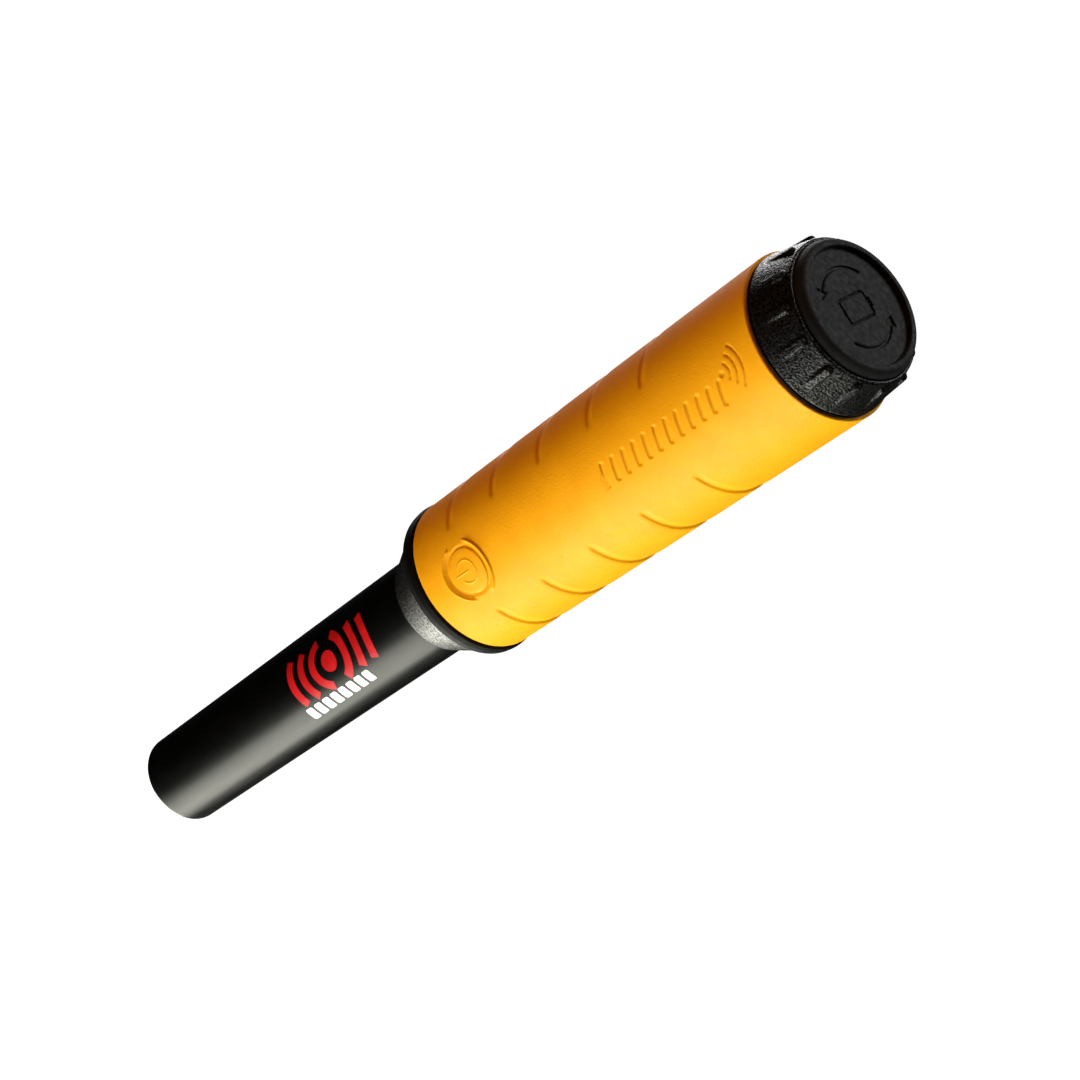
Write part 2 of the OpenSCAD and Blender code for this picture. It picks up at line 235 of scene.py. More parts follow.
def rounded(corners):
    """An outline of (r, z) points from corners (r, z) or (r, z, fillet radius)."""
    steps = 5
    points = []
    count = len(corners)
    for i, corner in enumerate(corners):
        here = np.array(corner[:2], float)
        fillet = corner[2] if len(corner) > 2 else 0.0
        if fillet == 0.0:
            points.append(tuple(here))
            continue
        before = np.array(corners[i - 1][:2], float) - here
        after = np.array(corners[(i + 1) % count][:2], float) - here
        before /= np.linalg.norm(before)
        after /= np.linalg.norm(after)
        half = math.acos(float(np.clip(before @ after, -1, 1))) / 2
        back = fillet / math.tan(half)
        centre = here + (before + after) / np.linalg.norm(before + after) * fillet / math.sin(half)
        start = here + before * back - centre
        end = here + after * back - centre
        turn = math.atan2(start[0] * end[1] - start[1] * end[0], float(start @ end))
        for k in range(steps + 1):
            c = math.cos(turn * k / steps)
            s = math.sin(turn * k / steps)
            points.append((centre[0] + start[0] * c - start[1] * s,
                           centre[1] + start[0] * s + start[1] * c))
    return points


def box_distance(u, v, half_u, half_v, corner):
    """Signed distance to a rectangle with rounded corners; negative inside."""
    du = np.abs(u) - (half_u - corner)
    dv = np.abs(v) - (half_v - corner)
    outside = np.hypot(np.maximum(du, 0), np.maximum(dv, 0))
    return outside + np.minimum(np.maximum(du, dv), 0) - corner


def arc_distance(u, v, radius, half_spread, half_width, facing=0.0):
    """Signed distance to an arc with round ends, centred on the origin and facing an angle."""
    turn = math.radians(facing)
    a = u * math.cos(turn) + v * math.sin(turn)
    b = np.abs(-u * math.sin(turn) + v * math.cos(turn))
    limit = math.radians(half_spread)
    angle = np.arctan2(b, a)
    on_arc = np.abs(np.hypot(a, b) - radius)
    end = np.hypot(a - radius * math.cos(limit), b - radius * math.sin(limit))
    return np.where(angle <= limit, on_arc, end) - half_width


def engraved(distance, deep, edge):
    """The relief of a sunk mark from its signed distance, with sides edge wide."""
    return -deep * (1 - smooth(-edge, 0.0, distance))


# ---- meshes ---------------------------------------------------------------------------------

def face_outward(mesh):
    """Turns every face of closed shells to look outward."""
    shells = bmesh.new()
    shells.from_mesh(mesh)
    bmesh.ops.recalc_face_normals(shells, faces=shells.faces)
    shells.to_mesh(mesh)
    shells.free()


def piece(name, points, faces, sharp=35.0):
    """A mesh object in the frame from points in millimetres, smooth but for its sharp edges."""
    mesh = bpy.data.meshes.new(name)
    mesh.from_pydata((np.asarray(points, float) * MM).tolist(), [], faces)
    mesh.validate()
    face_outward(mesh)
    mesh.polygons.foreach_set("use_smooth", [True] * len(mesh.polygons))
    mesh.set_sharp_from_angle(angle=math.radians(sharp))
    made = bpy.data.objects.new(name, mesh)
    bpy.context.scene.collection.objects.link(made)
    return made


def strip(a, b, closed=True):
    """Quads between two rows of vertex numbers; rows of one number are a pole."""
    count = max(len(a), len(b))
    faces = []
    for i in range(count if closed else count - 1):
        j = (i + 1) % count
        if len(a) == 1:
            faces.append((a[0], b[j], b[i]))
        elif len(b) == 1:
            faces.append((a[i], a[j], b[0]))
        else:
            faces.append((a[i], a[j], b[j], b[i]))
    return faces


def stack(rings, loop=False):
    """Points and faces of rings of points joined one after the next."""
    points = []
    rows = []
    for ring in rings:
        rows.append(list(range(len(points), len(points) + len(ring))))
        points += list(ring)
    pairs = list(zip(rows, rows[1:] + rows[:1] if loop else rows[1:]))
    faces = [f for a, b in pairs for f in strip(a, b)]
    return points, faces


def turned(outline, segments):
    """Rings of a lathe outline of (r, z); a point on the axis becomes a pole."""
    angles = np.linspace(0, 2 * math.pi, segments, endpoint=False)
    rings = []
    for r, z in outline:
        if r < 1e-6:
            rings.append([(0.0, 0.0, z)])
        else:
            rings.append([(r * math.cos(a), r * math.sin(a), z) for a in angles])
    return rings


def lathe(name, outline, loop=False, segments=160):
    """A turned piece; a looped outline closes on itself, and others end on the axis."""
    return piece(name, *stack(turned(outline, segments), loop))


# ---- materials ------------------------------------------------------------------------------

def srgb(red, green, blue):
    """A colour from 0-255 display values."""
    def linear(c):
        c /= 255
        return c / 12.92 if c <= 0.04045 else ((c + 0.055) / 1.055) ** 2.4
    return (linear(red), linear(green), linear(blue), 1.0)


class Material:
    """A procedural material: a Principled shader with layers of noise in the frame's metres."""

    def __init__(self, name, **fixed):
        self.material = bpy.data.materials.new(name)
        self.material.use_nodes = True
        self.tree = self.material.node_tree
        self.shader = self.tree.nodes["Principled BSDF"]
        self.place = self.node("ShaderNodeTexCoord").outputs["Object"]
        for socket, value in fixed.items():
            self.shader.inputs[socket.replace("_", " ")].default_value = value
        self.normal = None

    def node(self, kind, **settings):
        """A new node of this kind, with its properties set."""
        made = self.tree.nodes.new(kind)
        for key, value in settings.items():
            setattr(made, key, value)
        return made

    def link(self, a, b):
        self.tree.links.new(a, b)

    def noise(self, size_mm, detail, stretch=None):
        """A noise whose lumps are about size_mm across; stretch scales the axes."""
        made = self.node("ShaderNodeTexNoise")
        made.inputs["Scale"].default_value = 1.0 / (size_mm * MM)
        made.inputs["Detail"].default_value = detail
        place = self.place
        if stretch:
            mapping = self.node("ShaderNodeMapping")
            mapping.inputs["Scale"].default_value = stretch
            self.link(place, mapping.inputs["Vector"])
            place = mapping.outputs["Vector"]
        self.link(place, made.inputs["Vector"])
        return made.outputs["Fac"]

    def cells(self, size_mm):
        """The distance to the nearest of scattered points about size_mm apart."""
        made = self.node("ShaderNodeTexVoronoi")
        made.inputs["Scale"].default_value = 1.0 / (size_mm * MM)
        self.link(self.place, made.inputs["Vector"])
        return made.outputs["Distance"]

    def colour(self, source, *stops):
        """Runs the base colour along source between two stops of (position, colour)."""
        made = self.node("ShaderNodeValToRGB")
        for element, (position, colour) in zip(made.color_ramp.elements, stops):
            element.position = position
            element.color = colour
        self.link(source, made.inputs["Fac"])
        self.link(made.outputs["Color"], self.shader.inputs["Base Color"])

    def drive(self, socket, source, low, high, lo_in=0.36, hi_in=0.64):
        """Runs one of the shader's numbers from low to high as the source goes up."""
        made = self.node("ShaderNodeMapRange")
        made.inputs["From Min"].default_value = lo_in
        made.inputs["From Max"].default_value = hi_in
        made.inputs["To Min"].default_value = low
        made.inputs["To Max"].default_value = high
        self.link(source, made.inputs["Value"])
        self.link(made.outputs["Result"], self.shader.inputs[socket])

    def rough(self, source, low, high):
        """Runs the roughness from low to high over nearly all of the source's range."""
        self.drive("Roughness", source, low, high, 0.3, 0.7)

    def bump(self, source, depth_mm, strength):
        """Adds a bump; the layers of bump follow one another."""
        made = self.node("ShaderNodeBump")
        made.inputs["Strength"].default_value = strength
        made.inputs["Distance"].default_value = depth_mm * MM
        self.link(source, made.inputs["Height"])
        if self.normal:
            self.link(self.normal, made.inputs["Normal"])
        self.normal = made.outputs["Normal"]
        self.link(self.normal, self.shader.inputs["Normal"])

    def put(self, *objects):
        """Gives each object this material and no other."""
        for o in objects:
            o.data.materials.clear()
            o.data.materials.append(self.material)


def grip_plastic():
    """Satin amber over-moulding with a fine spark-eroded grain."""
    m = Material("grip_plastic", Specular_IOR_Level=0.16)
    m.colour(m.noise(9.0, 4.0), (0.3, srgb(217, 148, 8)), (0.7, srgb(223, 156, 11)))
    m.rough(m.noise(2.2, 3.0), 0.46, 0.60)
    m.bump(m.noise(0.5, 2.0), 0.13, 0.6)
    m.bump(m.noise(3.5, 2.0), 0.10, 0.25)
    return m


def button_plastic():
    """The same amber, a little smoother where fingers polish it."""
    m = Material("button_plastic", Specular_IOR_Level=0.2)
    m.colour(m.noise(5.0, 3.0), (0.3, srgb(219, 149, 8)), (0.7, srgb(225, 158, 12)))
    m.rough(m.noise(1.6, 3.0), 0.42, 0.56)
    m.bump(m.noise(0.5, 3.0), 0.18, 0.6)
    return m


def tube_plastic():
    """Black satin moulding with faint lengthwise scuffs."""
    m = Material("tube_plastic", Specular_IOR_Level=0.32)
    m.colour(m.noise(6.0, 4.0), (0.3, srgb(2, 2, 2)), (0.7, srgb(6, 6, 6)))
    m.rough(m.noise(1.5, 4.0, stretch=(1.0, 1.0, 0.08)), 0.30, 0.38)
    m.bump(m.noise(0.25, 2.0), 0.02, 0.25)
    return m


def textured_plastic(name, grain_mm, depth_mm):
    """Black plastic with the coarse sparkling grain of a texture-etched mould."""
    m = Material(name, Specular_IOR_Level=0.42)
    grain = m.noise(grain_mm, 2.0)
    m.colour(grain, (0.40, srgb(5, 5, 5)), (0.64, srgb(26, 26, 26)))
    m.drive("Roughness", grain, 0.44, 0.28)
    m.drive("Specular IOR Level", grain, 0.04, 0.8)
    m.bump(grain, depth_mm, 1.0)
    return m


def rim_plastic():
    """The smooth, dull black of the collar's rim band."""
    m = Material("rim_plastic", Specular_IOR_Level=0.2)
    m.colour(m.noise(3.0, 3.0), (0.3, srgb(7, 7, 7)), (0.7, srgb(13, 13, 13)))
    m.rough(m.noise(1.4, 3.0), 0.52, 0.64)
    m.bump(m.noise(0.4, 3.0), 0.08, 0.5)
    return m


def pad_rubber():
    """Matte charcoal rubber with a fine dry grain."""
    m = Material("pad_rubber", Specular_IOR_Level=0.35)
    m.colour(m.noise(4.0, 4.0), (0.3, srgb(16, 16, 16)), (0.7, srgb(24, 24, 24)))
    m.rough(m.noise(1.2, 3.0), 0.66, 0.82)
    m.bump(m.noise(0.4, 3.0), 0.05, 0.6)
    return m


def print_ink(name, low, high):
    """A pad-printed ink film of slightly uneven tone."""
    m = Material(name, Specular_IOR_Level=0.45)
    m.colour(m.noise(2.5, 4.0), (0.3, low), (0.7, high))
    m.rough(m.noise(0.8, 3.0), 0.36, 0.48)
    m.bump(m.noise(0.3, 2.0), 0.01, 0.3)
    return m


def plain_stuff(name, low, high, rough, grain_mm=0.5, depth_mm=0.02, **fixed):
    """A material for the pieces inside: two close tones, uneven gloss and a small grain."""
    m = Material(name, **fixed)
    m.colour(m.noise(4.0, 4.0), (0.3, srgb(*low)), (0.7, srgb(*high)))
    m.rough(m.noise(2.0, 3.0), rough - 0.06, rough + 0.06)
    m.bump(m.noise(grain_mm, 3.0), depth_mm, 0.5)
    return m


def wound_wire(name, low, high, wire_mm):
    """Enamelled copper laid in close turns round the axis."""
    m = Material(name, Metallic=1.0)
    wave = m.node("ShaderNodeTexWave", wave_type="BANDS", bands_direction="Z")
    # at a scale of 1 the wave texture's bands are 0.314 m apart
    wave.inputs["Scale"].default_value = 0.314 / (wire_mm * MM)
    wave.inputs["Distortion"].default_value = 0.3
    m.link(m.place, wave.inputs["Vector"])
    m.colour(wave.outputs["Fac"], (0.1, srgb(*low)), (0.8, srgb(*high)))
    m.rough(m.noise(1.5, 3.0), 0.28, 0.42)
    m.bump(wave.outputs["Fac"], wire_mm * 0.4, 0.8)
    return m


def foam_stuff():
    """Open-cell grey foam."""
    m = Material("foam_stuff", Specular_IOR_Level=0.2)
    m.colour(m.cells(0.7), (0.1, srgb(52, 53, 58)), (0.6, srgb(92, 94, 100)))
    m.rough(m.noise(1.0, 2.0), 0.85, 0.98)
    m.bump(m.cells(0.7), 0.25, 0.9)
    return m


def inner_materials():
    """The finish of every carried-over CAD node, by the record's material slot."""
    return {
        "ferrite": plain_stuff("ferrite_stone", (44, 44, 48), (66, 66, 72), 0.55),
        "pale_plastic": plain_stuff("pale_nylon", (206, 204, 190), (226, 224, 212), 0.48),
        "copper": wound_wire("enamel_wire", (120, 48, 18), (214, 118, 62), 0.35),
        "lead_sheath": plain_stuff("lead_sheath", (150, 24, 18), (182, 38, 28), 0.42),
        "seal_rubber": plain_stuff("seal_rubber", (16, 16, 16), (26, 26, 26), 0.52),
        "inner_black": plain_stuff("inner_black", (20, 20, 21), (33, 33, 34), 0.40),
        "chip_black": plain_stuff("chip_black", (28, 28, 30), (40, 40, 43), 0.62, 0.2),
        "board_green": plain_stuff("board_green", (10, 70, 34), (20, 96, 48), 0.34, 0.9, 0.03),
        "can_metal": plain_stuff("can_metal", (176, 178, 182), (204, 206, 210), 0.26,
                                 Metallic=1.0),
        "screw_steel": plain_stuff("screw_steel", (150, 150, 152), (188, 188, 190), 0.32,
                                   Metallic=1.0),
        "brass": plain_stuff("brass", (190, 150, 74), (216, 178, 98), 0.30, Metallic=1.0),
        "tungsten": plain_stuff("tungsten", (104, 102, 96), (134, 130, 122), 0.38,
                                Metallic=1.0),
        "battery_jacket": plain_stuff("battery_jacket", (46, 48, 54), (64, 66, 74), 0.36),
        "cell_metal": plain_stuff("cell_metal", (150, 152, 156), (180, 182, 186), 0.35,
                                  Metallic=1.0),
    }


# ---- probe tube and its printed marks -------------------------------------------------------

def tube_radius(z):
    """The tube's outside radius, which grows a little from the tip to the collar."""
    return TUBE_TIP_R + (TUBE_R - TUBE_TIP_R) * (z - TIP_Z) / (CONE_Z - TIP_Z)


def make_tube():
    """The closed tube, with the flange that holds it in the handle."""
    flange_z = TUBE_END - TUBE_FLANGE_T
    wall_z = TIP_Z + TUBE_END_WALL
    outline = rounded([
        (0, TIP_Z), (TUBE_TIP_R, TIP_Z, TUBE_TIP_ROUND), (TUBE_R, CONE_Z), (TUBE_R, flange_z),
        (TUBE_FLANGE_R, flange_z, 0.2), (TUBE_FLANGE_R, TUBE_END, 0.2),
        (TUBE_BORE_R, TUBE_END, 0.3), (TUBE_BORE_R, wall_z, 0.8), (0, wall_z)])
    made = lathe("search_tube", outline)
    tube_plastic().put(made)
    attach(made, "housing")
    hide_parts("probe_tube")


def on_tube(u, v, centre_z, centre_turn, lift):
    """The frame point at u mm along the tube and v mm round it from a mark's centre."""
    z = centre_z + u
    r = tube_radius(z)
    turn = math.radians(centre_turn) + v / r
    return (-(r + lift) * math.sin(turn), -(r + lift) * math.cos(turn), z)


def ink_patch(outline_pairs, centre_z, centre_turn, points, faces):
    """A thin closed film between two matching rows of (u, v) points, added to a mesh."""
    across = 6
    layers = []
    for lift in (-INK_SUNK, INK_T):
        rows = []
        for k in range(across + 1):
            share = k / across
            rows.append(list(range(len(points), len(points) + len(outline_pairs))))
            points += [on_tube(a[0] + (b[0] - a[0]) * share, a[1] + (b[1] - a[1]) * share,
                               centre_z, centre_turn, lift) for a, b in outline_pairs]
        layers.append(rows)
    low, top = layers
    for k in range(across):
        faces += strip(top[k], top[k + 1], closed=False)
        faces += strip(low[k + 1], low[k], closed=False)
        for end, flip in ((0, 1), (-1, -1)):
            face = (low[k][end], low[k + 1][end], top[k + 1][end], top[k][end])
            faces.append(face[::flip])
    faces += strip(low[0], top[0], closed=False)
    faces += strip(top[-1], low[-1], closed=False)


def make_signal_mark():
    """A red dot with arcs either side of it: a generic sign for a sensing tip."""
    points = []
    faces = []
    for near in SIGN_ARCS:
        far = near + SIGN_ARC_W
        spread = math.degrees(math.asin(SIGN_HALF / (near + SIGN_ARC_W / 2)))
        for facing in (0, 180):
            steps = np.radians(np.linspace(facing - spread, facing + spread, 25))
            pairs = [((near * math.cos(t), near * math.sin(t)),
                      (far * math.cos(t), far * math.sin(t))) for t in steps]
            ink_patch(pairs, SIGN_Z, SIGN_TURN, points, faces)
    dot = SIGN_DOT_R
    steps = np.radians(np.linspace(1, 179, 25))
    pairs = [((dot * math.cos(t), -dot * math.sin(t)), (dot * math.cos(t), dot * math.sin(t)))
             for t in steps]
    ink_patch(pairs, SIGN_Z, SIGN_TURN, points, faces)
    return piece("tube_signal_mark", points, faces)


def make_bar_mark():
    """A row of plain white bars beside the sign."""
    points = []
    faces = []
    for i in range(BAR_COUNT):
        pairs = []
        for u in BAR_W * np.linspace(0, 1, 13):
            inset = max(0.0, BAR_CORNER - min(u, BAR_W - u))
            edge = BAR_HALF - BAR_CORNER + math.sqrt(max(0.0, BAR_CORNER ** 2 - inset ** 2))
            pairs.append(((u, -edge), (u, edge)))
        ink_patch(pairs, BAR_FIRST_Z + i * BAR_PITCH, BAR_TURN, points, faces)
    return piece("tube_bar_mark", points, faces)


def make_marks():
    """The printed marks, which ride with the tube on the housing body."""
    red = make_signal_mark()
    print_ink("red_ink", srgb(160, 12, 16), srgb(182, 18, 21)).put(red)
    white = make_bar_mark()
    print_ink("white_ink", srgb(226, 226, 222), srgb(242, 242, 240)).put(white)
    for made in (red, white):
        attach(made, "housing")


# ---- collar ---------------------------------------------------------------------------------

def make_collar():
    """The grained cone, and the smooth rim band behind it as a ring of its own."""
    cone = lathe("collar_cone", rounded([
        (COLLAR_BORE_R, CONE_Z), (TUBE_R + 0.45, CONE_Z, 0.1),
        (RIM_R - 1.3, -RIM_HALF - 0.8, 0.8), (RIM_R - 0.7, SEAM_Z, 0.2), (RIM_R - 2.0, SEAM_Z),
        (COLLAR_BORE_R, SEAM_Z)]), loop=True, segments=192)
    rim = lathe("collar_rim", rounded([
        (COLLAR_BORE_R, SEAM_Z), (RIM_R - 0.7, SEAM_Z), (RIM_R - 0.2, -RIM_HALF, 0.35),
        (RIM_R + 0.03, 0, 1.6), (RIM_R - 0.15, RIM_HALF, 0.35), (RIM_BACK_R, RIM_HALF, 0.1),
        (RIM_BACK_R, COLLAR_END), (COLLAR_BORE_R, COLLAR_END)]), loop=True, segments=192)
    textured_plastic("collar_plastic", 0.45, 0.25).put(cone)
    rim_plastic().put(rim)
    for made in (cone, rim):
        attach(made, "housing")
        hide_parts("tube_collar")


# ---- grip sleeve ----------------------------------------------------------------------------

def grip_radius(z):
    """The sleeve's outside radius before any relief."""
    return GRIP_FRONT_R + (GRIP_REAR_R - GRIP_FRONT_R) * (z - GRIP_Z) / (GRIP_END - GRIP_Z)


def end_rounding(z):
    """How far the sleeve's surface draws in near its two ends."""
    front = 0.6
    rear = 0.5
    f = np.clip(GRIP_Z + front - z, 0, front)
    b = np.clip(z - GRIP_END + rear, 0, rear)
    return -(front - np.sqrt(front ** 2 - f ** 2)) - (rear - np.sqrt(rear ** 2 - b ** 2))


def groove_relief(turn, z):
    """Finger grooves: a steep wall on the tip side and a ramp back up on the cap side."""
    side = np.abs((turn + 180) % 360 - 180)
    starts = smooth(GROOVE_CLEAR, GROOVE_CLEAR + 2.5, side)
    growth = smooth(GROOVE_CLEAR, GROOVE_FULL, side)
    depth = (GROOVE_DEEP + GROOVE_DEEPEN * growth) * starts
    ramp = GROOVE_RAMP + GROOVE_RAMP_GROW * growth
    relief = np.zeros_like(z)
    for groove_z in GROOVE_ZS:
        t = z - groove_z + 0.3
        down = smooth(-GROOVE_WALL, 0.05, t)
        up = smooth(0.0, 1.0, t / ramp)
        relief -= depth * down * (1 - up)
    return relief


def bar_mark_relief(around, z):
    """An engraved row of plain slanted bars, with a dot and three arcs at its cap end."""
    u = z - WAVE_Z
    v = around - WAVE_AROUND
    mark = np.hypot(u, v) - WAVE_DOT_R
    for radius in WAVE_ARCS:
        mark = np.minimum(mark, arc_distance(u, v, radius, WAVE_SPREAD, WAVE_ARC_HALF))
    lean = math.radians(ROW_LEAN)
    across = around - ROW_AROUND
    for i in range(ROW_COUNT):
        along = z - ROW_FIRST_Z - ROW_PITCH * i
        u = across * math.cos(lean) + along * math.sin(lean)
        v = along * math.cos(lean) - across * math.sin(lean)
        bar = box_distance(u, v, ROW_BAR_LONG, ROW_BAR_WIDE, ROW_BAR_CORNER)
        mark = np.minimum(mark, bar)
    return engraved(mark, MARK_DEEP, MARK_EDGE)


def grip_relief(turn, z):
    """All of the sleeve's relief but the button's surround."""
    return end_rounding(z) + groove_relief(turn, z) + bar_mark_relief(
        np.radians(turn) * grip_radius(z), z)


def round_point(turn, r, z):
    """Frame points at angles in degrees from -Y towards -X."""
    a = np.radians(turn)
    return np.stack([-r * np.sin(a), -r * np.cos(a), z + 0 * a], axis=-1)


def guard_relief(reach, bearing):
    """Height round the button: a shallow dish, and the two guards towards tip and cap."""
    dish = -DISH_DEEP * (1 - smooth(HOLE_R, HOLE_R + DISH_W, reach))
    off_axis = np.degrees(np.arccos(np.clip(np.abs(np.sin(bearing)), 0, 1)))
    here = 1 - smooth(GUARD_FADE_FROM, GUARD_FADE_TO, off_axis)
    inside = np.clip((reach - GUARD_FOOT) / (GUARD_CREST - GUARD_FOOT), 0, 1)
    climb = (DISH_DEEP + GUARD_H) * inside ** 1.2 - DISH_DEEP
    guard = climb * (1 - smooth(GUARD_CREST, GUARD_OUT, reach))
    return dish + here * (guard - dish)


def make_grip():
    """The sleeve as a grid of angles by heights, with a round patch let in for the button."""
    # columns are close over the engraved mark; rows are close at the grooves and the mark
    turns = graded((-180, 2.0), (-13, 0.75), (27, 2.0), (180, 1.0))[:-1]
    mark_lo = 60.0
    mark_hi = 118.0
    heights = [(GRIP_Z, 0.12), (GRIP_Z + 0.72, 0.8), (BUTTON_Z - PATCH_HALF, 0.45)]
    for i, groove_z in enumerate(GROOVE_ZS):
        after = 1.0 if groove_z < mark_lo else 0.27
        heights += [(groove_z - 1.0, 0.1), (groove_z, 0.22), (groove_z + 3.2, after)]
        if i == 0:
            heights += [(BUTTON_Z + PATCH_HALF, after)]
    heights += [(mark_hi, 0.8), (GRIP_END - 0.6, 0.1), (GRIP_END, 1.0)]
    zs = graded(*heights)
    lo_row = int(np.argmin(np.abs(zs - (BUTTON_Z - PATCH_HALF))))
    hi_row = int(np.argmin(np.abs(zs - (BUTTON_Z + PATCH_HALF))))
    half_turn = math.degrees(math.asin(PATCH_HALF / grip_radius(BUTTON_Z)))
    lo_col = int(np.argmin(np.abs(turns + half_turn)))
    hi_col = int(np.argmin(np.abs(turns - half_turn)))
    points = []
    faces = []

    def sheet(row_zs, surface):
        """Adds a grid's vertices, a row at each height, and returns their numbers."""
        numbers = []
        for z in row_zs:
            r = surface(turns, np.full_like(turns, z))
            numbers.append(list(range(len(points), len(points) + len(turns))))
            points.extend(round_point(turns, r, z))
        return numbers

    def skin(numbers, first, last, outward):
        """Faces over a grid, except inside the button's patch."""
        count = len(turns)
        for i in range(len(numbers) - 1):
            for j in range(count):
                if first <= i < last and lo_col <= j < hi_col:
                    continue
                k = (j + 1) % count
                face = (numbers[i][j], numbers[i + 1][j], numbers[i + 1][k], numbers[i][k])
                faces.append(face if outward else face[::-1])

    def patch_rim(numbers, first, last):
        """The patch's edge in order round the button."""
        return ([numbers[first][j] for j in range(lo_col, hi_col)]
                + [numbers[i][hi_col] for i in range(first, last)]
                + [numbers[last][j] for j in range(hi_col, lo_col, -1)]
                + [numbers[i][lo_col] for i in range(last, first, -1)])

    def fill_patch(rim, reaches, radius_at, outward):
        """Rings from the patch's edge in to the button's hole, round from ROUND_OUT on."""
        edge = np.array([points[n] for n in rim])
        dx = edge[:, 0]
        dz = edge[:, 2] - BUTTON_Z
        bearing = np.arctan2(dz, dx)
        far = np.hypot(dx, dz)
        last = rim
        for reach in reaches:
            if reach > ROUND_OUT:
                share = (reach - ROUND_OUT) / (PATCH_HALF - ROUND_OUT)
                away = ROUND_OUT + share * (far - ROUND_OUT)
            else:
                away = np.full_like(far, reach)
            x = away * np.cos(bearing)
            z = BUTTON_Z + away * np.sin(bearing)
            r = radius_at(x, z, away, bearing)
            ring = list(range(len(points), len(points) + len(rim)))
            points.extend(np.stack([x, -np.sqrt(r ** 2 - x ** 2), z], axis=-1))
            quads = strip(last, ring)
            faces.extend(quads if outward else [q[::-1] for q in quads])
            last = ring
        return last

    def outer_at(x, z, away, bearing):
        """The outside radius in the patch."""
        turn = np.degrees(np.arcsin(np.clip(-x / grip_radius(z), -1, 1)))
        return grip_radius(z) + groove_relief(turn, z) + guard_relief(away, bearing)

    def inner_at(x, z, away, bearing):
        """The inside radius in the patch."""
        return SLEEVE_IN_FRONT + SLEEVE_IN_SLOPE * (z - GRIP_Z)

    outer = sheet(zs, lambda t, z: grip_radius(z) + grip_relief(t, z))
    skin(outer, lo_row, hi_row, True)
    reaches = np.concatenate([np.linspace(PATCH_HALF, ROUND_OUT, 5)[1:],
                              np.arange(GUARD_OUT + 0.15, HOLE_R + 0.1, -0.12),
                              [HOLE_R + 0.07, HOLE_R + 0.02]])
    lip = fill_patch(patch_rim(outer, lo_row, hi_row), reaches, outer_at, True)

    inner_zs = np.concatenate([[GRIP_Z], zs[lo_row:hi_row + 1], [60, 90, GRIP_END]])
    inner = sheet(inner_zs, lambda t, z: inner_at(t, z, 0, 0))
    in_last = 1 + hi_row - lo_row
    skin(inner, 1, in_last, False)
    bottom = fill_patch(patch_rim(inner, 1, in_last), [8.0, 6.5, HOLE_R], inner_at, False)

    # the hole's wall
    edge = np.array([points[n] for n in lip])
    bearing = np.arctan2(edge[:, 2] - BUTTON_Z, edge[:, 0])
    last = lip
    for drop in (0.06, 0.3, 0.9):
        x = HOLE_R * np.cos(bearing)
        z = BUTTON_Z + HOLE_R * np.sin(bearing)
        r = grip_radius(z) - DISH_DEEP - drop
        ring = list(range(len(points), len(points) + len(lip)))
        points.extend(np.stack([x, -np.sqrt(r ** 2 - x ** 2), z], axis=-1))
        faces.extend(strip(last, ring))
        last = ring
    faces.extend(strip(last, bottom))

    # the two end faces
    faces.extend(strip(inner[0], outer[0]))
    faces.extend(strip(outer[-1], inner[-1]))

    made = piece("grip_cover", points, faces, sharp=50.0)
    grip_plastic().put(made)
    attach(made, "housing")
    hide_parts("grip_sleeve")


# ---- power button ---------------------------------------------------------------------------

def power_sign_relief(u, v):
    """The common standby sign, raised: a broken ring and a line through its gap."""
    high = 0.15
    edge = 0.22
    half_spread = 142
    ring = arc_distance(u, v, 2.75, half_spread, 0.28)
    line = box_distance(u + 1.6, v, 2.3, 0.26, 0.2)
    return high * (1 - smooth(-edge, 0.04, np.minimum(ring, line)))


def make_button():
    """The button's curved face with its sign and rounded edge, and the stem below it."""
    bearing = np.linspace(0, 2 * math.pi, 144, endpoint=False)
    step = 0.14
    edge = 0.5
    edge_drop = 0.28

    def face_ring(reach, drop):
        """A ring on the face, which follows the sleeve's curve."""
        x = reach * np.cos(bearing)
        z = BUTTON_Z + reach * np.sin(bearing)
        sign = power_sign_relief(z - BUTTON_Z, -x)
        r = grip_radius(z) - FACE_SUNK + sign - drop
        return np.stack([x, -np.sqrt(r ** 2 - x ** 2), z], axis=-1).tolist()

    def flat_ring(reach, y):
        """A ring below the face, at one depth."""
        return [(reach * math.cos(a), y, BUTTON_Z + reach * math.sin(a)) for a in bearing]

    crown = grip_radius(BUTTON_Z) - FACE_SUNK
    rings = [[(0.0, -crown, BUTTON_Z)]]
    rings += [face_ring(reach, 0.0) for reach in np.arange(step, BUTTON_R - edge, step)]
    for k in range(5):
        a = math.pi / 2 * k / 4
        rings.append(face_ring(BUTTON_R - edge + edge * math.sin(a), edge_drop * (1 - math.cos(a))))
    rings += [flat_ring(BUTTON_R, -HEAD_IN), flat_ring(STEM_R, -HEAD_IN),
              flat_ring(STEM_R, STEM_END - 0.2), flat_ring(STEM_R - 0.2, STEM_END),
              [(0.0, STEM_END, BUTTON_Z)]]
    made = piece("button_cap", *stack(rings), sharp=40.0)
    button_plastic().put(made)
    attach(made, "button")
    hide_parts("power_button")


# ---- battery cap ----------------------------------------------------------------------------

def rib_rise(across, z, plain):
    """Height of a finger rib: a long ramp out of the ring's slope, ending blunt and round."""
    top = RIB_TOP_R - RIB_TOP_SLOPE * (z - RIB_TOP_Z)
    shape = box_distance(across, z - RIB_Z, RIB_W / 2, RIB_HALF, RIB_CORNER)
    return max(0.0, top - plain) * (1 - smooth(-0.4, 0.35, shape))


